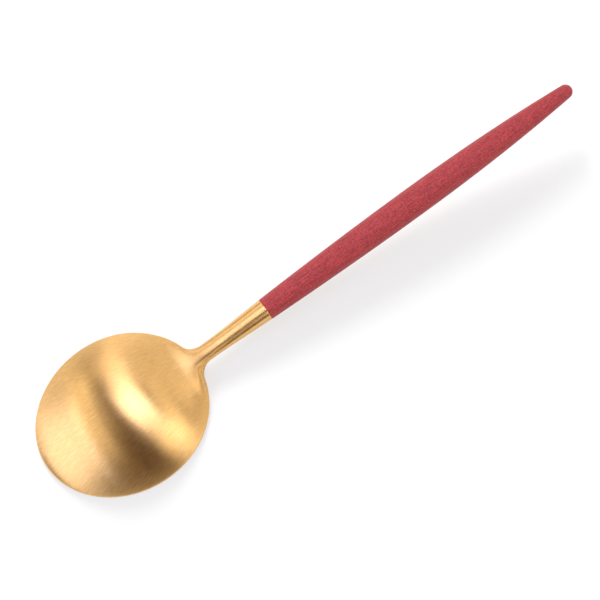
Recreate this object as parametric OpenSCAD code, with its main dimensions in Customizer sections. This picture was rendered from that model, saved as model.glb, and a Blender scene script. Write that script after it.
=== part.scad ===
// Table spoon lying bowl-down: a forged steel head with a brushed gold finish, and a slim
// round handle of red-dyed wood bonded over a steel rod.
// Frame: +X from the bowl towards the handle's end, +Y across, +Z up, rim land on Z = 0,
// origin under the middle of the spoon's length.

/* [Bowl] */
// Width of the bowl at its widest place
bowl_w = 49.5; // [46:0.5:54]
// Length of the bowl in front of its widest place
bowl_front = 28.8; // [26:0.1:31]
// Length of the egg outline behind its widest place
bowl_rear = 27.8; // [25:0.1:29]
// Height of the outer dome above the rim's edge
dome_h = 11; // [9:0.1:13]
// Wall thickness at the top of the dome
wall = 2; // [1.6:0.1:2.4]
// Height of the rim's outer edge
rim_h = 1; // [0.8:0.1:1.4]
// Width of the rim between its outer edge and the hollow
rim_w = 1.4; // [1.2:0.1:1.8]
// Extra width of the rim at the rear, where the neck grows out of it
rim_rear = 0.8; // [0.4:0.1:1.2]
// Rounding of the rim's lower outer edge
rim_round = 0.35; // [0.2:0.05:0.5]

/* [Neck] */
// Radius of the fillets between the bowl's outline and the neck
fillet_r = 5; // [4:0.5:8]
// Width of the neck at its narrowest place
neck_w = 5.6; // [5:0.1:6.5]
// Height of the neck at its narrowest place
neck_h = 4.4; // [4:0.1:5]
// Distance behind the bowl's widest place where the dome begins to sweep down into the neck
sweep_x = 15.5; // [8:0.5:16]
// Share of the flare's length over which the rim's edge rises into the neck, where less is sooner
flare_rise = 0.8; // [0.6:0.05:1]
// Distance from the bowl's widest place to the joint with the handle
joint_x = 54.8; // [52:0.2:60]
// Height of the handle's axis at the joint
joint_z = 5.2; // [5:0.1:7]
// Rise of the handle's axis from the table, in degrees
tilt = 3; // [2:0.1:4]

/* [Handle] */
// Length of the handle along its axis
handle_len = 121.4; // [100:0.2:130]
// Diameter of the handle and the neck where they meet
joint_d = 7.3; // [7:0.1:8]
// Largest diameter of the handle
handle_d = 9.5; // [9:0.1:10.5]
// Diameter of the handle where its rounded end begins
tip_d = 4.7; // [3.8:0.1:5]
// Place of the largest diameter, as a share of the handle's length
belly = 0.48; // [0.4:0.01:0.55]
// Fullness of the taper towards the joint, where 2 is a plain curve
full_joint = 1.8; // [1.6:0.1:2.4]
// Fullness of the taper towards the end, where 2 is a plain curve
full_tip = 2.2; // [2:0.1:3]

/* [Core] */
// Diameter of the steel rod
rod_d = 3; // [2.4:0.1:3.2]
// Depth of the rod in the neck
rod_in = 8; // [6:0.5:10]
// Length of the rod inside the handle
rod_out = 42; // [30:1:60]
// Thickness of the adhesive around the rod
glue = 0.3; // [0.2:0.05:0.5]
// Length of the adhesive past the rod's end
glue_end = 2; // [1:0.5:3]

/* [Detail] */
// Spokes along each side of the bowl's egg
egg_steps = 30; // [20:1:36]
// Spokes along each fillet
fillet_steps = 7; // [5:1:9]
// Spokes across the neck
neck_steps = 8; // [6:2:10]
// Rings between the top of the dome and the rim's edge
dome_rings = 15; // [10:1:16]
// Rings of the rim's underside
land_rings = 3; // [2:1:4]
// Rings of the hollow
hollow_rings = 10; // [8:1:12]
// Sections along the neck
neck_rings = 14; // [10:1:16]
// Rings of the handle's turned profile
handle_rings = 36; // [24:1:48]

/* [Hidden] */
$fn = 64;
gold = [0.83, 0.62, 0.29];
steel = [0.62, 0.62, 0.64];
resin = [0.86, 0.80, 0.62];
red_wood = [0.58, 0.10, 0.13];

half_w = bowl_w / 2;
neck_r = neck_w / 2;
joint_r = joint_d / 2;
handle_r = handle_d / 2;
tip_r = tip_d / 2;
side_angle = 20;                              // the neck's side band, above and below its widest line
side_in = 1 - cos(side_angle);
lip_angles = [0, 30, 60, 90];
lip_rings = len(lip_angles);

function root(v) = sqrt(max(v, 0));
function share(x, a, b) = min(max((x - a) / (b - a), 0), 1);
function ease(t) = t * t * (3 - 2 * t);
// Curve from height va, with slope first, to height vb, with slope last
function bend(x, a, b, va, vb, last, first = 0) =
    let (t = share(x, a, b))
    va + (vb - va) * ease(t) + (b - a) * (last * t * t * (t - 1) + first * t * (1 - t) * (1 - t));

// ---- Handle profile: radius along the axis, and the ball that closes it
body_len = handle_len - tip_r;
function handle_at(t) =
    t < belly
        ? handle_r - (handle_r - joint_r) * pow((belly - t) / belly, full_joint)
        : handle_r - (handle_r - tip_r) * pow((t - belly) / (1 - belly), full_tip);
joint_slope = (handle_r - joint_r) * full_joint / (belly * body_len);
tip_slope = atan((handle_r - tip_r) * full_tip / ((1 - belly) * body_len));
ball_r = tip_r / cos(tip_slope);
ball_x = body_len - ball_r * sin(tip_slope);

// ---- Plan outline: an ellipse skewed along its length into an egg, then a fillet and the neck
// Share u of an egg's length is -1 at the front, 0 at the widest place and 1 at the rear.
function egg_skew(front, rear) = (rear - front) / (rear + front);
function egg_mid(front, rear) = 2 * front * rear / (front + rear);
function egg_x(u, front, rear) = egg_mid(front, rear) * u / (1 - egg_skew(front, rear) * u);
function egg_u(x, front, rear) = x / (egg_mid(front, rear) + egg_skew(front, rear) * x);
function egg_at(t) = [egg_x(cos(t), bowl_front, bowl_rear), half_w * sin(t)];
function egg_out(t) =
    let (k = egg_skew(bowl_front, bowl_rear), m = egg_mid(bowl_front, bowl_rear),
         n = [half_w * cos(t), m * sin(t) / pow(1 - k * cos(t), 2)])
    n / norm(n);

// The fillet's arc touches the egg at angle fillet_t and the neck's side at its centre's x.
function fillet_gap(t) = egg_at(t).y + fillet_r * egg_out(t).y - neck_r - fillet_r;
function solve(lo, hi, n = 40) =
    let (mid = (lo + hi) / 2)
    n == 0 ? mid : fillet_gap(mid) > 0 ? solve(lo, mid, n - 1) : solve(mid, hi, n - 1);
fillet_t = solve(0, 60);
fillet_a = egg_at(fillet_t);
fillet_c = fillet_a + fillet_r * egg_out(fillet_t);
neck_x = fillet_c.x;

function half_at(x) =
    x <= fillet_a.x ? half_w * root(1 - pow(egg_u(x, bowl_front, bowl_rear), 2))
    : x < neck_x ? fillet_c.y - root(pow(fillet_r, 2) - pow(x - neck_x, 2))
    : bend(x, neck_x, joint_x, neck_r, joint_r, joint_slope);

// ---- Heights over the plan
land_end = bowl_rear - rim_w - rim_rear;
flare_x = fillet_a.x - fillet_r;
function neck_share(x) = ease(pow(share(x, flare_x, neck_x), flare_rise));

// The cap of a sphere standing on the rim: g is 0 at the rim and 1 in the middle.
function cap(g, h, half) =
    let (r = (half * half + h * h) / (2 * h))
    root(r * r - half * half * (1 - g)) - (r - h);
function centre_g(x) = 1 - pow(egg_u(x, bowl_front, bowl_rear), 2);
function dome_z(x) = rim_h + cap(centre_g(x), dome_h, half_w);

// Along the middle: the dome on top, then one curve down to the neck and along it to the joint
dome_slope = (dome_z(sweep_x + 0.01) - dome_z(sweep_x - 0.01)) / 0.02;
function ridge(x) =
    x < sweep_x ? dome_z(x)
    : bend(x, sweep_x, joint_x, dome_z(sweep_x), joint_z + joint_r, tan(tilt) + joint_slope, dome_slope);
function neck_half(x) = bend(x, neck_x, joint_x, neck_h / 2, joint_r, joint_slope);
function underside(x) =
    x < neck_x
        ? (ridge(neck_x) - neck_h) * ease(share(x, land_end, neck_x))
        : ridge(x) - 2 * neck_half(x);
function half_h(x) = (ridge(x) - underside(x)) / 2;
function axis_z(x) = (ridge(x) + underside(x)) / 2;

// The edge is the rim in the bowl, and a band along the widest line of the neck.
function edge_h(x) = half_h(x) * sin(side_angle);
function edge_top(x) = let (k = neck_share(x)) rim_h * (1 - k) + (axis_z(x) + edge_h(x)) * k;
function edge_low(x) = (axis_z(x) - edge_h(x)) * neck_share(x);
function edge_y(x) = half_at(x) * (1 - side_in * neck_share(x));
function across(x, y) = min(abs(y) / max(edge_y(x), 0.001), 1);

// Share of the rise from the edge to the ridge, s being 0 in the middle and 1 at the edge
function round_part(s) =
    (sqrt(1 - pow(s * cos(side_angle), 2)) - sin(side_angle)) / (1 - sin(side_angle));
function dome_part(x, s) =
    let (g = max(centre_g(x), 0.05))
    cap(g * (1 - s * s), dome_h, half_w) / cap(g, dome_h, half_w);
function top_z(x, y) =
    let (k = neck_share(x), s = across(x, y))
    edge_top(x) + (ridge(x) - edge_top(x)) * ((1 - k) * dome_part(x, s) + k * round_part(s));
function low_z(x, y) =
    edge_low(x) - (edge_low(x) - underside(x)) * round_part(across(x, y));

// The hollow is a smaller egg under its own cap.
hollow_front = bowl_front - rim_w;
hollow_half = half_w - rim_w;
hollow_h = rim_h + dome_h - wall;
function hollow_at(t, k) = [egg_x(cos(t), hollow_front, land_end), hollow_half * sin(t)] * k;
function hollow_z(p) =
    cap(1 - pow(egg_u(p.x, hollow_front, land_end), 2) - pow(p.y / hollow_half, 2),
        hollow_h, hollow_half);

// ---- Head mesh: spokes from the middle of the bowl to points [x, y] of the outline, each with
// its outward direction. They go round by the right side, across the neck, and back by the left.
function egg_spoke(t) = [egg_at(t), egg_out(t)];
fillet_start = asin((fillet_c.y - fillet_a.y) / fillet_r);
function fillet_spoke(i) =
    let (a = fillet_start + (90 - fillet_start) * i / fillet_steps, turn = [cos(a), -sin(a)])
    [[fillet_c.x, -fillet_c.y] - fillet_r * turn, turn];
right = concat(
    [for (i = [0:egg_steps - 1]) egg_spoke(-180 + (180 - fillet_t) * i / egg_steps)],
    [for (i = [0:fillet_steps - 1]) fillet_spoke(i)]
);
left = [for (i = [len(right) - 1:-1:1]) [for (p = right[i]) [p.x, -p.y]]];
across_neck = [for (i = [0:neck_steps])
    let (s = 2 * i / neck_steps - 1)
    [[neck_x, neck_r * s], [0, sign(s)]]];
spokes = concat(right, across_neck, left);
neck_first = len(right);
neck_last = neck_first + neck_steps;

// Point i of the lip: round under the rim in the bowl, round the side band on the neck
function side_turn(i) = side_angle * (1 - 2 * (i + 1) / lip_rings);
function lip_point(spoke, i) =
    let (p = spoke[0], k = neck_share(p.x), a = lip_angles[i], b = side_turn(i),
         rim = p - spoke[1] * rim_round * (1 - cos(a)))
    [rim.x * (1 - k) + p.x * k,
     rim.y * (1 - k) + p.y * cos(b) * k,
     rim_round * (1 - sin(a)) * (1 - k) + (axis_z(p.x) + half_h(p.x) * sin(b)) * k];
function low_point(p) = [p.x, p.y, low_z(p.x, p.y)];

// One spoke from its first ring on top, over the edge, to its last ring in the hollow
function spoke_points(j) =
    let (spoke = spokes[j], p = spoke[0],
         inside = j > neck_first && j < neck_last,
         e = [p.x, inside ? p.y * (1 - side_in) : sign(p.y) * edge_y(p.x)],
         lip = [for (i = [0:lip_rings - 1]) inside ? low_point(e) : lip_point(spoke, i)],
         foot = lip[lip_rings - 1],
         t = atan2(p.y / half_w, egg_u(p.x, bowl_front, bowl_rear)),
         rim = hollow_at(t, 1))
    concat(
        [for (i = [1:dome_rings])
            let (q = e * i / dome_rings)
            [q.x, q.y, top_z(q.x, q.y)]],
        lip,
        [for (i = [1:land_rings]) low_point([foot.x, foot.y] + (rim - [foot.x, foot.y]) * i / land_rings)],
        [for (i = [hollow_rings - 1:-1:1])
            let (q = hollow_at(t, i / hollow_rings))
            [q.x, q.y, hollow_z(q)]]
    );
rings = dome_rings + lip_rings + land_rings + hollow_rings - 1;
function at(j, i) = (j % len(spokes)) * rings + i;

// Section of the neck, in the same order as the hole that the spokes leave for it
function neck_loop(x) =
    let (a = tilt * ease(share(x, neck_x, joint_x)), w = half_at(x), h = half_h(x),
         arc = [for (i = [0:neck_steps]) (2 * i / neck_steps - 1) * cos(side_angle)],
         sides = [for (i = [0:lip_rings - 1]) side_turn(i)],
         flat = concat(
             [for (s = arc) [s, sqrt(1 - s * s)]],
             [for (b = sides) [cos(b), sin(b)]],
             [for (i = [neck_steps - 1:-1:0]) [arc[i], -sqrt(1 - arc[i] * arc[i])]],
             [for (i = [lip_rings - 2:-1:0]) [-cos(sides[i]), sin(sides[i])]]))
    [for (q = flat) [x - q.y * h * sin(a), q.x * w, axis_z(x) + q.y * h * cos(a)]];
loop_len = 2 * (neck_steps + lip_rings);
hole = concat(
    [for (j = [neck_first:neck_last]) at(j, dome_rings - 1)],
    [for (i = [0:lip_rings - 1]) at(neck_last, dome_rings + i)],
    [for (j = [neck_last - 1:-1:neck_first]) at(j, dome_rings + lip_rings - 1)],
    [for (i = [lip_rings - 2:-1:0]) at(neck_first, dome_rings + i)]
);
body_count = len(spokes) * rings;
function loop_at(n, i) = n == 0 ? hole[i % loop_len] : body_count + (n - 1) * loop_len + i % loop_len;

head_points = concat(
    [for (j = [0:len(spokes) - 1]) for (p = spoke_points(j)) p],
    [for (n = [1:neck_rings]) for (p = neck_loop(neck_x + (joint_x - neck_x) * n / neck_rings)) p],
    [[0, 0, top_z(0, 0)], [0, 0, hollow_z([0, 0])]]
);
top_pole = body_count + neck_rings * loop_len;
low_pole = top_pole + 1;
function quad(a, b, c, d) = [[a, b, c], [a, c, d]];
head_faces = concat(
    [for (j = [0:len(spokes) - 1]) for (i = [0:rings - 2])
        if (i < dome_rings - 1 || i >= dome_rings + lip_rings - 1 || j < neck_first || j >= neck_last)
            for (f = quad(at(j, i), at(j + 1, i), at(j + 1, i + 1), at(j, i + 1))) f],
    [for (j = [0:len(spokes) - 1]) [top_pole, at(j + 1, 0), at(j, 0)]],
    [for (j = [0:len(spokes) - 1]) [low_pole, at(j, rings - 1), at(j + 1, rings - 1)]],
    [for (n = [0:neck_rings - 1]) for (i = [0:loop_len - 1])
        for (f = quad(loop_at(n, i), loop_at(n, i + 1), loop_at(n + 1, i + 1), loop_at(n + 1, i))) f],
    [[for (i = [0:loop_len - 1]) loop_at(neck_rings, i)]]
);

// ---- Parts
front_x = -bowl_front;
end_x = joint_x + ball_x * cos(tilt) + ball_r;
module in_row() { translate([-(front_x + end_x) / 2, 0, 0]) children(); }
// Places a shape drawn along Z on the handle's axis, starting at the joint
module on_axis() { in_row() translate([joint_x, 0, joint_z]) rotate([0, 90 - tilt, 0]) children(); }

module bowl_head() {
    color(gold) difference() {
        in_row() polyhedron(points = head_points, faces = head_faces, convexity = 6);
        on_axis() translate([0, 0, -rod_in]) cylinder(d = rod_d, h = rod_in + 1);
    }
}

module tang_rod() {
    color(steel) on_axis() translate([0, 0, -rod_in]) cylinder(d = rod_d, h = rod_in + rod_out);
}

module adhesive() {
    color(resin) on_axis() difference() {
        cylinder(d = rod_d + 2 * glue, h = rod_out + glue_end);
        translate([0, 0, -1]) cylinder(d = rod_d, h = rod_out + 1);
    }
}

module handle() {
    profile = concat(
        [[0, 0]],
        [for (i = [0:handle_rings]) [handle_at(i / handle_rings), body_len * i / handle_rings]],
        [for (a = [tip_slope + 12:12:89]) [ball_r * cos(a), ball_x + ball_r * sin(a)]],
        [[0, ball_x + ball_r]]
    );
    color(red_wood) on_axis() difference() {
        rotate_extrude() polygon(profile);
        translate([0, 0, -1]) cylinder(d = rod_d + 2 * glue, h = rod_out + glue_end + 1);
    }
}

bowl_head();
tang_rod();
adhesive();
handle();
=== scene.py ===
"""Looks of the table spoon: a brushed gold head and a matt red wooden handle, bowl down on a
pale floor. Shapes are worked out in millimetres in the bowl's own frame, whose origin is the
bowl's widest place on the table, and then moved to the frame's own origin, in metres."""

import math

import bpy
import numpy as np
from mathutils import Matrix


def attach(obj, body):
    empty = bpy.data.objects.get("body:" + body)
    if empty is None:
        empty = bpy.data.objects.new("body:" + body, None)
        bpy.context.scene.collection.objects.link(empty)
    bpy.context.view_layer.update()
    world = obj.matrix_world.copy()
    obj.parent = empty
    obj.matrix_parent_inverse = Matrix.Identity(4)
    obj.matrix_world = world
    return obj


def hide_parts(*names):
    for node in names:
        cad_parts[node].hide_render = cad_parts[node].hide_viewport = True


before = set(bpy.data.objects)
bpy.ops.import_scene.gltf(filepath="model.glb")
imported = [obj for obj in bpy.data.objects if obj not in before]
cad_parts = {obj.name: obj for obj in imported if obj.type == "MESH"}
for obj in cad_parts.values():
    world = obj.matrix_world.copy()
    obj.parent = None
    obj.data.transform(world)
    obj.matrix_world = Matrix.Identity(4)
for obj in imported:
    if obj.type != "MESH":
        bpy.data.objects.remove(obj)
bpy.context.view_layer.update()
scene = bpy.context.scene

# ---- Sizes in millimetres, the same as the CAD part's
BOWL_W, BOWL_FRONT, BOWL_REAR = 49.5, 28.8, 27.8
DOME_H, WALL = 11.0, 2.0
RIM_H, RIM_W, RIM_REAR, RIM_ROUND = 1.0, 1.4, 0.8, 0.35
FILLET_R, NECK_W, NECK_H, SWEEP_X = 5.0, 5.6, 4.4, 15.5
JOINT_X, JOINT_Z, TILT = 54.8, 5.2, math.radians(3)
HANDLE_LEN, JOINT_D, HANDLE_D, TIP_D = 121.4, 7.3, 9.5, 4.7
BELLY, FULL_JOINT, FULL_TIP = 0.48, 1.8, 2.2
ROD_D, ROD_IN, ROD_OUT, GLUE, GLUE_END = 3.0, 8.0, 42.0, 0.3, 2.0
FLARE_POWER = 0.8
SIDE_ANGLE = math.radians(20)  # where on the neck's section the head's side begins
MM = 0.001

# ---- Small softened edges, in millimetres, which only the looks have
EDGE_SOFT = 0.32  # along the bowl's edge
NECK_SOFT = 0.15  # at the neck's end
HANDLE_SOFT = 0.22  # at the handle's front end
BORE_SOFT = 0.1, 0.15  # at the mouths of the neck's bore and the handle's bore

HALF_W = BOWL_W / 2
NECK_R, JOINT_R, HANDLE_R, TIP_R = NECK_W / 2, JOINT_D / 2, HANDLE_D / 2, TIP_D / 2
BODY_LEN = HANDLE_LEN - TIP_R
JOINT_SLOPE = (HANDLE_R - JOINT_R) * FULL_JOINT / (BELLY * BODY_LEN)
TIP_SLOPE = math.atan((HANDLE_R - TIP_R) * FULL_TIP / ((1 - BELLY) * BODY_LEN))
BALL_R = TIP_R / math.cos(TIP_SLOPE)
BALL_X = BODY_LEN - BALL_R * math.sin(TIP_SLOPE)
END_X = JOINT_X + BALL_X * math.cos(TILT) + BALL_R
MID_X = (END_X - BOWL_FRONT) / 2


# ---- Curves
def root(v):
    return np.sqrt(np.maximum(v, 0))


def share(x, a, b):
    """How far x is from a to b, as 0 to 1."""
    return np.clip((x - a) / (b - a), 0, 1)


def ease(t):
    return t * t * (3 - 2 * t)


def bend(x, a, b, va, vb, slope, start=0.0):
    """Curve from height va to vb that leaves a with slope start and meets b with slope."""
    t = share(x, a, b)
    return va + (vb - va) * ease(t) + (b - a) * (slope * t * t * (t - 1) + start * t * (1 - t) ** 2)


# ---- The head's surfaces. The plan outline is an ellipse skewed along its length into an egg.
EGG_SKEW = (BOWL_REAR - BOWL_FRONT) / (BOWL_REAR + BOWL_FRONT)
EGG_MID = 2 * BOWL_FRONT * BOWL_REAR / (BOWL_FRONT + BOWL_REAR)
LAND_END = BOWL_REAR - RIM_W - RIM_REAR
HOLLOW_FRONT = BOWL_FRONT - RIM_W
HOLLOW_HALF = HALF_W - RIM_W
HOLLOW_H = RIM_H + DOME_H - WALL


def egg_x(u, front, rear):
    """Skews u, which runs from -1 to 1 on a circle, to a place from -front to rear."""
    return 2 * front * rear / (front + rear) * u / (1 - (rear - front) / (rear + front) * u)


def egg_u(x, front, rear):
    """The inverse of egg_x()."""
    return x / (2 * front * rear / (front + rear) + (rear - front) / (rear + front) * x)


def egg_at(t):
    """Point of the egg at angle t."""
    return np.stack([egg_x(np.cos(t), BOWL_FRONT, BOWL_REAR), HALF_W * np.sin(t)], -1)


def egg_out(t):
    """Outward direction of the egg at angle t."""
    n = np.stack([HALF_W * np.cos(t), EGG_MID * np.sin(t) / (1 - EGG_SKEW * np.cos(t)) ** 2], -1)
    return n / np.linalg.norm(n, axis=-1, keepdims=True)


def solve_fillet():
    """The angle on the egg where the fillet's arc touches it."""
    low, high = 0.0, math.radians(60)
    for _ in range(50):
        mid = (low + high) / 2
        gap = egg_at(mid)[1] + FILLET_R * egg_out(mid)[1] - NECK_R - FILLET_R
        low, high = (low, mid) if gap > 0 else (mid, high)
    return low


FILLET_T = solve_fillet()
FILLET_A = egg_at(FILLET_T)
FILLET_C = FILLET_A + FILLET_R * egg_out(FILLET_T)
NECK_X = FILLET_C[0]
FLARE_X = FILLET_A[0] - FILLET_R


def half_at(x):
    """Half the width of the outline: the egg, the fillet and then the neck."""
    egg = HALF_W * root(1 - egg_u(x, BOWL_FRONT, BOWL_REAR) ** 2)
    fillet = FILLET_C[1] - root(FILLET_R**2 - (x - NECK_X) ** 2)
    neck = bend(x, NECK_X, JOINT_X, NECK_R, JOINT_R, JOINT_SLOPE)
    return np.where(x <= FILLET_A[0], egg, np.where(x < NECK_X, fillet, neck))


def neck_share(x):
    """0 over the bowl, 1 on the neck, and in between where the one flares into the other."""
    return ease(share(x, FLARE_X, NECK_X) ** FLARE_POWER)


def cap(g, h, half):
    """Height of a sphere's cap: g is 0 at its edge and 1 in its middle."""
    r = (half * half + h * h) / (2 * h)
    return root(r * r - half * half * (1 - g)) - (r - h)


def centre_g(x):
    """The g of cap() along the bowl's middle."""
    return 1 - egg_u(x, BOWL_FRONT, BOWL_REAR) ** 2


def dome_z(x):
    return RIM_H + cap(centre_g(x), DOME_H, HALF_W)


def ridge(x):
    """Height along the middle: the dome, and from SWEEP_X one curve down and along the neck."""
    slope = (dome_z(SWEEP_X + 0.01) - dome_z(SWEEP_X - 0.01)) / 0.02
    sweep = bend(x, SWEEP_X, JOINT_X, dome_z(SWEEP_X), JOINT_Z + JOINT_R,
                 math.tan(TILT) + JOINT_SLOPE, slope)
    return np.where(x < SWEEP_X, dome_z(np.minimum(x, SWEEP_X)), sweep)


def underside(x):
    flare = (ridge(NECK_X) - NECK_H) * ease(share(x, LAND_END, NECK_X))
    neck = ridge(x) - 2 * bend(x, NECK_X, JOINT_X, NECK_H / 2, JOINT_R, JOINT_SLOPE)
    return np.where(x < NECK_X, flare, neck)


def half_h(x):
    return (ridge(x) - underside(x)) / 2


def axis_z(x):
    return (ridge(x) + underside(x)) / 2


def edge_top(x):
    k = neck_share(x)
    return RIM_H * (1 - k) + (axis_z(x) + half_h(x) * math.sin(SIDE_ANGLE)) * k


def edge_low(x):
    return (axis_z(x) - half_h(x) * math.sin(SIDE_ANGLE)) * neck_share(x)


def edge_y(x):
    return half_at(x) * (1 - (1 - math.cos(SIDE_ANGLE)) * neck_share(x))


def round_part(s):
    """Height of the neck's round section at share s of its half width: 1 in the middle."""
    low = math.sin(SIDE_ANGLE)
    return (np.sqrt(1 - (s * math.cos(SIDE_ANGLE)) ** 2) - low) / (1 - low)


def dome_part(x, s):
    """Height of the dome's section at share s of its half width: 1 in the middle."""
    g = np.maximum(centre_g(x), 0.05)
    return cap(g * (1 - s * s), DOME_H, HALF_W) / cap(g, DOME_H, HALF_W)


def across(x, y):
    """How far y is from the middle to the edge, as 0 to 1."""
    return np.minimum(abs(y) / np.maximum(edge_y(x), 1e-3), 1)


def top_z(x, y):
    k, s, edge = neck_share(x), across(x, y), edge_top(x)
    return edge + (ridge(x) - edge) * ((1 - k) * dome_part(x, s) + k * round_part(s))


def low_z(x, y):
    edge = edge_low(x)
    return edge - (edge - underside(x)) * round_part(across(x, y))


def hollow_z(x, y):
    g = 1 - egg_u(x, HOLLOW_FRONT, LAND_END) ** 2 - (y / HOLLOW_HALF) ** 2
    return cap(g, HOLLOW_H, HOLLOW_HALF)


# ---- Meshes
SHARP_ANGLE = math.radians(40)
EGG_STEPS, FILLET_STEPS, NECK_STEPS = 84, 22, 24
TOP_RINGS, SOFT_RINGS, LIP_RINGS, LAND_RINGS, HOLLOW_RINGS, NECK_RINGS = 64, 5, 7, 4, 36, 72
HANDLE_RINGS, TIP_RINGS, HANDLE_SPOKES = 180, 16, 112

# Angles on the neck's section where the rings of the soft edge and of the lip go round it
SOFT_END = 0.7
SOFT_TURNS = SIDE_ANGLE * (1 - (1 - SOFT_END) * np.arange(1, SOFT_RINGS + 1) / SOFT_RINGS)
LIP_TURNS = SIDE_ANGLE * (SOFT_END - (1 + SOFT_END) * np.arange(1, LIP_RINGS + 1) / LIP_RINGS)


def add_object(name, data):
    obj = bpy.data.objects.new(name, data)
    scene.collection.objects.link(obj)
    return obj


def new_piece(name, points, faces):
    """points in millimetres in the bowl's frame."""
    mesh = bpy.data.meshes.new(name)
    placed = (np.asarray(points, float) - [MID_X, 0, 0]) * MM
    mesh.from_pydata(placed.tolist(), [], [tuple(int(v) for v in f) for f in faces])
    mesh.validate()
    mesh.update()
    mesh.polygons.foreach_set("use_smooth", [True] * len(mesh.polygons))
    mesh.set_sharp_from_angle(angle=SHARP_ANGLE)
    return add_object(name, mesh)


def tube_faces(loops):
    """Quads between closed loops of point numbers, which all run the same way round."""
    faces = []
    for a, b in zip(loops[:-1], loops[1:]):
        for i in range(len(a)):
            j = (i + 1) % len(a)
            faces.append((a[i], a[j], b[j], b[i]))
    return faces


def head_outline():
    """Points round the plan outline, their outward directions, and the first one of the neck."""
    t = -math.pi + (math.pi - FILLET_T) * np.arange(EGG_STEPS) / EGG_STEPS
    egg, egg_dir = egg_at(t), egg_out(t)
    start = math.asin((FILLET_C[1] - FILLET_A[1]) / FILLET_R)
    a = start + (math.pi / 2 - start) * np.arange(FILLET_STEPS) / FILLET_STEPS
    turn = np.stack([np.cos(a), -np.sin(a)], -1)
    fillet = np.array([FILLET_C[0], -FILLET_C[1]]) - FILLET_R * turn
    right, right_dir = np.r_[egg, fillet], np.r_[egg_dir, turn]
    s = 2 * np.arange(NECK_STEPS + 1) / NECK_STEPS - 1
    neck = np.stack([np.full(len(s), NECK_X), NECK_R * s], -1)
    neck_dir = np.stack([np.zeros(len(s)), np.sign(s)], -1)
    flip = np.array([1, -1])
    left, left_dir = right[:0:-1] * flip, right_dir[:0:-1] * flip
    return np.r_[right, neck, left], np.r_[right_dir, neck_dir, left_dir], len(right)


def lip_rings(p, out):
    """Rings from the softened top edge, round the lip, to its foot, below the outline's points p.
    Over the flare each ring goes over into one round the neck's side."""
    x = p[:, 0]
    k = neck_share(x)[:, None]

    def neck_side(angle):
        return np.c_[x, p[:, 1] * math.cos(angle), axis_z(x) + half_h(x) * math.sin(angle)]

    def at_height(q, z):
        return np.c_[q, np.full(len(q), z)]

    corner = np.c_[x, np.sign(p[:, 1]) * edge_y(x), edge_top(x)]
    start = corner[:, :2] - p / np.linalg.norm(p, axis=1, keepdims=True) * EDGE_SOFT
    start = np.c_[start, top_z(start[:, 0], start[:, 1])]
    end = at_height(p, RIM_H - EDGE_SOFT) * (1 - k) + neck_side(SOFT_TURNS[-1]) * k
    rings = []
    for i, angle in enumerate(SOFT_TURNS):
        t = (i + 1) / SOFT_RINGS
        curve = (1 - t) ** 2 * start + 2 * t * (1 - t) * corner + t * t * end
        rings.append(curve * (1 - k ** 4) + neck_side(angle) * k ** 4)
    for i, angle in enumerate(LIP_TURNS):
        a = math.pi / 2 * i / (LIP_RINGS - 1)
        foot = at_height(p - out * RIM_ROUND * (1 - math.cos(a)), RIM_ROUND * (1 - math.sin(a)))
        rings.append(foot * (1 - k) + neck_side(angle) * k)
    return rings


def neck_loop(x):
    """Section of the neck, in the order of the hole that the spokes leave for it."""
    lean = TILT * ease(share(x, NECK_X, JOINT_X))
    arc = (2 * np.arange(NECK_STEPS + 1) / NECK_STEPS - 1) * math.cos(SIDE_ANGLE)
    turns = np.r_[SOFT_TURNS, LIP_TURNS]
    circle = np.r_[
        np.c_[arc, root(1 - arc**2)],
        np.c_[np.cos(turns), np.sin(turns)],
        np.c_[arc, -root(1 - arc**2)][-2::-1],
        np.c_[-np.cos(turns), np.sin(turns)][-2::-1],
    ]
    up = circle[:, 1] * half_h(x)
    return np.c_[x - up * math.sin(lean), circle[:, 0] * half_at(x), axis_z(x) + up * math.cos(lean)]


def axis_frame():
    """Where the handle's axis starts, its direction, and the two directions across it."""
    along = np.array([math.cos(TILT), 0, math.sin(TILT)])
    up = np.array([-math.sin(TILT), 0, math.cos(TILT)])
    return np.array([JOINT_X, 0, JOINT_Z]), along, up, np.array([0.0, 1.0, 0.0])


def head_rings(outline, out, inside):
    """Rings of the bowl from the dome's middle, over its edge and into the hollow. inside marks
    the points of the outline that lie on the neck's section."""
    x, y = outline.T
    edge = np.c_[x, np.where(inside, y * math.cos(SIDE_ANGLE), np.sign(y) * edge_y(x))]
    reach = np.where(inside, 1, 1 - EDGE_SOFT / np.linalg.norm(edge, axis=1))
    rings = []
    for i in range(TOP_RINGS):
        q = edge * (reach * (i + 1) / TOP_RINGS)[:, None]
        rings.append(np.c_[q, top_z(q[:, 0], q[:, 1])])
    low_edge = np.c_[edge, low_z(edge[:, 0], edge[:, 1])]
    for ring in lip_rings(outline, out):
        rings.append(np.where(inside[:, None], low_edge, ring))
    foot = rings[-1][:, :2]
    angle = np.arctan2(y / HALF_W, egg_u(x, BOWL_FRONT, BOWL_REAR))
    rim = np.stack([egg_x(np.cos(angle), HOLLOW_FRONT, LAND_END), HOLLOW_HALF * np.sin(angle)], -1)
    for i in range(LAND_RINGS):
        q = foot + (rim - foot) * (i + 1) / LAND_RINGS
        rings.append(np.c_[q, low_z(q[:, 0], q[:, 1])])
    for i in range(HOLLOW_RINGS - 1, 0, -1):
        q = rim * i / HOLLOW_RINGS
        rings.append(np.c_[q, hollow_z(q[:, 0], q[:, 1])])
    return rings


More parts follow.
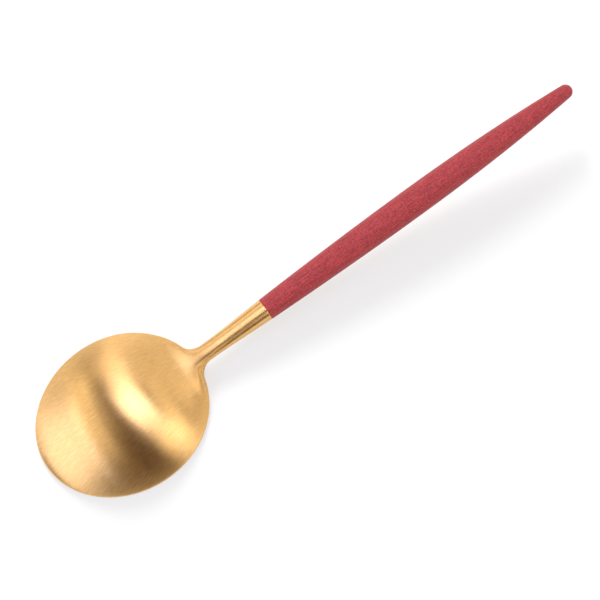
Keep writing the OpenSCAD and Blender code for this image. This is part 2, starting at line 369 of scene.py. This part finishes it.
def make_head():
    """The bowl's rings leave a hole at the neck's root, and the neck's loops go on from there."""
    outline, out, first = head_outline()
    n = len(outline)
    last = first + NECK_STEPS
    rings = head_rings(outline, out, (np.arange(n) > first) & (np.arange(n) < last))
    points = [p for ring in rings for p in ring]
    number = np.arange(len(points)).reshape(len(rings), n)
    faces = []
    lip_first, lip_last = TOP_RINGS - 1, TOP_RINGS + SOFT_RINGS + LIP_RINGS - 1
    for i in range(len(rings) - 1):
        for j in range(n):
            if lip_first <= i < lip_last and first <= j < last:
                continue
            m = (j + 1) % n
            faces.append((number[i, j], number[i + 1, j], number[i + 1, m], number[i, m]))
    top_pole, low_pole = len(points), len(points) + 1
    points += [(0, 0, float(top_z(np.array(0.0), np.array(0.0)))), (0, 0, float(hollow_z(0.0, 0.0)))]
    for j in range(n):
        m = (j + 1) % n
        faces.append((top_pole, number[0, j], number[0, m]))
        faces.append((low_pole, number[-1, m], number[-1, j]))

    # The hole's points, once round, in the order of neck_loop()
    hole = [number[lip_first, j] for j in range(first, last + 1)]
    hole += [number[i, last] for i in range(lip_first + 1, lip_last + 1)]
    hole += [number[lip_last, j] for j in range(last - 1, first - 1, -1)]
    hole += [number[i, first] for i in range(lip_last - 1, lip_first, -1)]
    loops = [hole]

    def add(loop):
        loops.append(list(range(len(points), len(points) + len(loop))))
        points.extend(loop)

    for i in range(1, NECK_RINGS + 1):
        add(neck_loop(NECK_X + (JOINT_X - NECK_SOFT - NECK_X) * i / NECK_RINGS))
    centre, along, up, side = axis_frame()
    end = neck_loop(JOINT_X) - centre
    for a in (math.radians(45), math.radians(90)):
        drop = 1 - NECK_SOFT * (1 - math.cos(a)) / JOINT_R
        add(centre + end * drop - along * NECK_SOFT * (1 - math.sin(a)))
    turn = np.arctan2(end @ up, end @ side)
    wall = np.cos(turn)[:, None] * side + np.sin(turn)[:, None] * up
    bore, soft = ROD_D / 2, BORE_SOFT[0]
    for r, depth in ((bore + soft, 0), (bore, soft), (bore, ROD_IN), (bore / 5, ROD_IN)):
        add(centre + wall * r - along * depth)
    faces += [tuple(reversed(f)) for f in tube_faces(loops)]
    faces.append(tuple(loops[-1]))
    return new_piece("head_skin", points, faces)


def handle_at(t):
    """Radius of the handle at share t of its turned body."""
    near = HANDLE_R - (HANDLE_R - JOINT_R) * (np.maximum(BELLY - t, 0) / BELLY) ** FULL_JOINT
    far = HANDLE_R - (HANDLE_R - TIP_R) * (np.maximum(t - BELLY, 0) / (1 - BELLY)) ** FULL_TIP
    return np.where(t < BELLY, near, far)


def make_handle():
    """A turned body with a rounded end, a softened edge at the joint and a blind bore. Its
    profile, as radius and place along the axis, starts in the middle of the bore's blind end."""
    bore, depth, soft = ROD_D / 2 + GLUE, ROD_OUT + GLUE_END, BORE_SOFT[1]
    profile = [(0.02, depth), (bore, depth), (bore, soft), (bore + soft, 0)]
    for a in np.radians((0, 30, 60, 90)):
        profile.append((JOINT_R - HANDLE_SOFT * (1 - math.sin(a)), HANDLE_SOFT * (1 - math.cos(a))))
    for i in range(1, HANDLE_RINGS + 1):
        t = i / HANDLE_RINGS
        profile.append((float(handle_at(t)), BODY_LEN * t))
    for i in range(1, TIP_RINGS):
        a = TIP_SLOPE + (math.pi / 2 - TIP_SLOPE) * i / TIP_RINGS
        profile.append((BALL_R * math.cos(a), BALL_X + BALL_R * math.sin(a)))
    n = HANDLE_SPOKES
    centre, along, up, side = axis_frame()
    turn = 2 * math.pi * np.arange(n) / n
    wall = np.cos(turn)[:, None] * side + np.sin(turn)[:, None] * up
    points, loops = [], []
    for r, at in profile:
        loops.append(list(range(len(points), len(points) + n)))
        points.extend(centre + along * at + wall * r)
    faces = tube_faces(loops)
    tip = len(points)
    points.append(centre + along * (BALL_X + BALL_R))
    faces += [(loops[-1][i], loops[-1][(i + 1) % n], tip) for i in range(n)]
    faces.append(tuple(reversed(loops[0])))
    return new_piece("handle_skin", points, faces)


# ---- Material nodes
class Nodes:
    """Short names for the node tree of one material."""

    # A mix node's sockets for each kind of data: its two inputs and its output
    MIX_SOCKETS = {"RGBA": (6, 7, 2), "VECTOR": (4, 5, 1)}

    def __init__(self, name):
        self.material = bpy.data.materials.new(name)
        self.material.use_nodes = True
        self.tree = self.material.node_tree
        self.tree.nodes.clear()
        self.shader = self.add("ShaderNodeBsdfPrincipled")
        output = self.add("ShaderNodeOutputMaterial")
        self.tree.links.new(self.shader.outputs[0], output.inputs["Surface"])

    def add(self, kind, **settings):
        node = self.tree.nodes.new(kind)
        for key, value in settings.items():
            setattr(node, key, value)
        return node

    def put(self, socket, value):
        if isinstance(value, bpy.types.NodeSocket):
            self.tree.links.new(value, socket)
        elif value is not None:
            socket.default_value = value

    def math(self, kind, a, b):
        node = self.add("ShaderNodeMath", operation=kind)
        for socket, value in zip(node.inputs, (a, b)):
            self.put(socket, value)
        return node.outputs[0]

    def vector(self, kind, a, b=None):
        node = self.add("ShaderNodeVectorMath", operation=kind)
        for socket, value in zip(node.inputs, (a, b)):
            self.put(socket, value)
        return node.outputs[0]

    def join(self, x, y, z):
        node = self.add("ShaderNodeCombineXYZ")
        for socket, value in zip(node.inputs, (x, y, z)):
            self.put(socket, value)
        return node.outputs[0]

    def split(self, vector):
        node = self.add("ShaderNodeSeparateXYZ")
        self.put(node.inputs[0], vector)
        return node.outputs

    def noise(self, vector, scale=1.0, detail=2.0, rough=0.5, distort=0.0):
        node = self.add("ShaderNodeTexNoise")
        self.put(node.inputs["Vector"], vector)
        node.inputs["Scale"].default_value = scale
        node.inputs["Detail"].default_value = detail
        node.inputs["Roughness"].default_value = rough
        node.inputs["Distortion"].default_value = distort
        return node.outputs["Fac"]

    def grain(self, vector, along_mm, across_mm, detail=3.0, distort=0.0, rough=0.6):
        """Noise drawn out along X, with features about this long and this wide."""
        where = self.vector("MULTIPLY", vector, (1 / along_mm, 1 / across_mm, 1 / across_mm))
        return self.noise(where, 1.0, detail, rough, distort)

    def remap(self, value, low, high, to_low=0.0, to_high=1.0):
        """value carried from low..high to to_low..to_high, and held at their ends."""
        node = self.add("ShaderNodeMapRange")
        for socket, v in zip(node.inputs, (value, low, high, to_low, to_high)):
            self.put(socket, v)
        return node.outputs[0]

    def mix(self, share, a, b, kind="RGBA"):
        """From a to b by the share, for two colours or two vectors."""
        node = self.add("ShaderNodeMix", data_type=kind)
        first, second, result = self.MIX_SOCKETS[kind]
        for number, value in ((0, share), (first, a), (second, b)):
            self.put(node.inputs[number], value)
        return node.outputs[result]

    def set(self, **values):
        """Each value goes to the shader's socket of that name."""
        for key, value in values.items():
            self.put(self.shader.inputs[key.replace("_", " ")], value)

    def millimetres(self):
        """The point in the bowl's frame, in millimetres."""
        coords = self.add("ShaderNodeTexCoord").outputs["Object"]
        scaled = self.vector("MULTIPLY", coords, (1000, 1000, 1000))
        return self.vector("ADD", scaled, (MID_X, 0, 0))

    def bump(self, height, strength, distance_mm, normal=None):
        node = self.add("ShaderNodeBump")
        node.inputs["Strength"].default_value = strength
        node.inputs["Distance"].default_value = distance_mm * MM
        self.put(node.inputs["Height"], height)
        if normal is not None:
            self.put(node.inputs["Normal"], normal)
        return node.outputs[0]


# ---- Materials. x, y and z are in the bowl's frame, in millimetres.
FAN_X = 90.0  # the scratches over the bowl spread from this place, behind the neck
FAN_NEAR = 8.0  # and stop spreading this near to it


def gold_material():
    """Brushed gold: scratches run along the spoon and spread from the neck over the bowl."""
    n = Nodes("gold_steel")
    point = n.millimetres()
    x, y, z = n.split(point)
    reach = n.math("SUBTRACT", FAN_X, x)
    lane = n.math("DIVIDE", n.math("MULTIPLY", y, FAN_X), n.math("MAXIMUM", reach, FAN_NEAR))
    on_neck = n.remap(x, 26.0, 34.0)
    lanes = n.join(x, lane, n.math("MULTIPLY", z, on_neck))

    def streaks(along_mm, lane_mm, detail=2.0, shift_mm=0.0):
        return n.grain(n.vector("ADD", lanes, (shift_mm, 0, 0)), along_mm, lane_mm, detail)

    fine = streaks(2.2, 0.18)
    broad = streaks(14.0, 0.7, shift_mm=434.0)
    sparse = n.remap(streaks(6.0, 0.30, 1.0, 462.0), 0.58, 0.66)
    cloud = n.noise(point, 0.09, 3.0)

    tone = n.math("ADD", n.remap(fine, 0.38, 0.62, 0.0, 0.85), n.remap(broad, 0.3, 0.7, 0.0, 0.15))
    base = n.mix(tone, (0.715, 0.408, 0.134, 1), (0.867, 0.522, 0.198, 1))
    base = n.mix(n.math("MULTIPLY", sparse, 0.4), base, (0.97, 0.68, 0.32, 1))
    base = n.mix(n.remap(cloud, 0.35, 0.65, 0.0, 0.10), base, (0.86, 0.52, 0.20, 1))

    # The flare at the neck's root is a little duller than the bowl and the neck
    rough = n.math("ADD", n.remap(fine, 0.38, 0.62, 0.285, 0.315), n.remap(broad, 0.3, 0.7, 0.0, 0.02))
    duller = n.math("SUBTRACT", n.remap(x, 18.0, 27.0, 0.0, 0.16), n.remap(x, 30.0, 40.0, 0.0, 0.14))
    rough = n.math("ADD", rough, duller)

    # The shine's tangent runs across the scratches on the bowl, and along the neck on the neck
    scratch_dir = n.vector("NORMALIZE", n.join(reach, n.math("MULTIPLY", y, -1.0), 0.0))
    geometry = n.add("ShaderNodeNewGeometry")
    over_bowl = n.vector("CROSS_PRODUCT", geometry.outputs["Normal"], scratch_dir)
    turned = n.mix(n.remap(x, 22.0, 36.0), over_bowl, (1, 0, 0), "VECTOR")
    tangent = n.vector("NORMALIZE", turned)

    normal = n.bump(fine, 0.45, 0.012)
    normal = n.bump(broad, 0.10, 0.02, normal)
    n.set(Base_Color=base, Metallic=1.0, Roughness=rough, Anisotropic=0.9, Tangent=tangent,
          Normal=normal)
    return n.material


def wood_material():
    """Red-dyed wood, sanded matt: grain streaks along the handle, with pores and short specks."""
    n = Nodes("red_wood")
    turn = n.add("ShaderNodeVectorRotate", rotation_type="Y_AXIS")
    n.put(turn.inputs["Vector"], n.vector("SUBTRACT", n.millimetres(), (JOINT_X, 0, JOINT_Z)))
    turn.inputs["Angle"].default_value = TILT
    point = turn.outputs[0]

    fine = n.grain(point, 6.0, 0.35)
    band = n.grain(point, 40.0, 1.8, 3.0, 0.4)
    pores = n.remap(n.grain(point, 3.0, 0.22, 1.0), 0.64, 0.74)
    fleck = n.remap(n.grain(point, 1.4, 0.28, 2.0), 0.38, 0.62)
    speck = n.grain(point, 0.6, 0.30, 1.0)

    base = n.mix(n.remap(fine, 0.36, 0.64), (0.22, 0.007, 0.010, 1), (0.54, 0.044, 0.042, 1))
    for amount, colour in (
        (n.math("MULTIPLY", fleck, 0.5), (0.44, 0.078, 0.068, 1)),
        (n.remap(band, 0.35, 0.7, 0.0, 0.45), (0.34, 0.024, 0.026, 1)),
        (n.math("MULTIPLY", pores, 0.5), (0.24, 0.016, 0.022, 1)),
        (n.remap(speck, 0.50, 0.64, 0.0, 0.40), (0.64, 0.083, 0.073, 1)),
        (n.remap(speck, 0.50, 0.36, 0.0, 0.44), (0.19, 0.006, 0.014, 1)),
    ):
        base = n.mix(amount, base, colour)
    rough = n.remap(fine, 0.3, 0.7, 0.58, 0.72)
    height = n.math("SUBTRACT", fine, n.math("MULTIPLY", pores, 0.6))
    n.set(Base_Color=base, Roughness=rough, Specular_IOR_Level=0.4, Sheen_Weight=0.10,
          Sheen_Roughness=0.5, Sheen_Tint=(1.0, 0.75, 0.75, 1), Normal=n.bump(height, 0.5, 0.05))
    return n.material


def rod_material():
    """Plain drawn steel with lines along it."""
    n = Nodes("rod_steel")
    lines = n.grain(n.millimetres(), 10.0, 0.2, 2.0, rough=0.5)
    base = n.mix(n.remap(lines, 0.3, 0.7), (0.42, 0.42, 0.43, 1), (0.60, 0.60, 0.61, 1))
    n.set(Base_Color=base, Metallic=1.0, Roughness=n.remap(lines, 0.3, 0.7, 0.25, 0.4),
          Normal=n.bump(lines, 0.3, 0.01))
    return n.material


def resin_material():
    """Cured glue, cloudy and pale yellow."""
    n = Nodes("adhesive_resin")
    cloud = n.noise(n.millimetres(), 0.8, 4.0)
    base = n.mix(n.remap(cloud, 0.3, 0.7), (0.66, 0.56, 0.30, 1), (0.78, 0.70, 0.46, 1))
    n.set(Base_Color=base, Roughness=n.remap(cloud, 0.3, 0.7, 0.35, 0.5),
          Normal=n.bump(cloud, 0.3, 0.05))
    return n.material


def paint(obj, material):
    obj.data.materials.clear()
    obj.data.materials.append(material)


# ---- Pieces
head = make_head()
paint(head, gold_material())
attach(head, "root")
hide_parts("bowl_head")

handle = make_handle()
paint(handle, wood_material())
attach(handle, "root")
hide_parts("handle")

paint(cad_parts["tang_rod"], rod_material())
paint(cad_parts["adhesive"], resin_material())

# ---- Floor: a plain square, slightly lit of itself
FLOOR = 4.0  # half its side, in metres
floor_mesh = bpy.data.meshes.new("floor")
corners = [(-FLOOR, -FLOOR, 0), (FLOOR, -FLOOR, 0), (FLOOR, FLOOR, 0), (-FLOOR, FLOOR, 0)]
floor_mesh.from_pydata(corners, [], [(0, 1, 2, 3)])
floor = add_object("floor", floor_mesh)
paper = Nodes("floor_white")
paper.set(Base_Color=(0.16, 0.16, 0.16, 1), Roughness=0.9, Specular_IOR_Level=0.1,
          Emission_Color=(1, 0.985, 0.955, 1), Emission_Strength=0.68)
paint(floor, paper.material)


def placed_by(x, y, z, at):
    """The placing whose axes point along x, y and z, with its origin at at."""
    return Matrix([[x[i], y[i], z[i], at[i]] for i in range(3)] + [[0, 0, 0, 1]])


# ---- Camera: where it looks from, the place in the bowl's frame it looks at, how far off that
# is and how wide a strip it sees there, in millimetres
VIEW_AZ, VIEW_EL = math.radians(36.2), math.radians(76.5)
LOOK_AT = np.array([65.3, -4.1, 6.0])
VIEW_DIST, VIEW_WIDTH = 560.0, 188.5
SENSOR = 36.0
ca, sa, ce, se = math.cos(VIEW_AZ), math.sin(VIEW_AZ), math.cos(VIEW_EL), math.sin(VIEW_EL)
right = np.array([ca, -sa, 0])
up = np.array([se * sa, se * ca, ce])
toward = np.array([-ce * sa, -ce * ca, se])
eye = (LOOK_AT + toward * VIEW_DIST - [MID_X, 0, 0]) * MM
camera_data = bpy.data.cameras.new("camera")
camera_data.sensor_width = SENSOR
camera_data.lens = SENSOR * VIEW_DIST / VIEW_WIDTH
camera_data.clip_start, camera_data.clip_end = 0.01, 50
camera = add_object("camera", camera_data)
camera.matrix_world = placed_by(right, up, toward, eye)
scene.camera = camera


# ---- Light. A box's place is two angles seen from the bowl: lean is its angle from straight up,
# towards +X, and turn its angle out of that upright plane, towards +Y.
LIGHT_DIST = 1.0
LIT_PLACE = np.array([-MID_X, 0, 10]) * MM
COOL = (0.95, 1.02, 1.38)


def softbox(name, lean, turn, width, height, radiance, roll=0, colour=(1, 1, 1)):
    """An area light facing the bowl, width degrees wide in lean and height in turn, then rolled."""
    data = bpy.data.lights.new(name, "AREA")
    data.shape = "RECTANGLE"
    data.size = 2 * LIGHT_DIST * math.tan(math.radians(width / 2))
    data.size_y = 2 * LIGHT_DIST * math.tan(math.radians(height / 2))
    data.energy = radiance * math.pi * data.size * data.size_y
    data.color = colour
    a, e, b = math.radians(lean), math.radians(turn), math.radians(roll)
    away = np.array([math.sin(a) * math.cos(e), math.sin(e), math.cos(a) * math.cos(e)])
    level = np.array([math.cos(a), 0, -math.sin(a)])
    steep = np.cross(away, level)
    side = level * math.cos(b) + steep * math.sin(b)
    over = steep * math.cos(b) - level * math.sin(b)
    obj = add_object(name, data)
    obj.matrix_world = placed_by(side, over, away, away * LIGHT_DIST + LIT_PLACE)
    return obj


softbox("front_box", -59, 11, 48, 76, 1.9, colour=COOL)
softbox("front_far", -52, 66, 50, 30, 0.6)
softbox("front_upper", -28, 20, 18, 84, 1.1)
softbox("front_top", -14, 30, 12, 76, 0.45)
softbox("strip", 12.5, 5, 22, 42, 4.1, 11, COOL)
softbox("strip_far", 19, 50, 18, 46, 1.3)
softbox("strip_right", 37, -46, 27, 27, 2.4)
softbox("rear_box", 45, 14, 30, 116, 0.92)
softbox("rear_low", 80, 0, 12, 150, 2.0)

# The strongest light falls on the floor only, where it draws the spoon's shadow
key = softbox("key", 39, 57, 20, 18, 100.0)
lit = bpy.data.collections.new("lit_by_key")
lit.objects.link(floor)
key.light_linking.receiver_collection = lit

world = bpy.data.worlds.new("studio")
scene.world = world
world.use_nodes = True
background = world.node_tree.nodes["Background"]
background.inputs["Color"].default_value = (1, 0.50, 0.22, 1)
background.inputs["Strength"].default_value = 0.07
scene.view_settings.view_transform = "Standard"

bpy.context.view_layer.update()
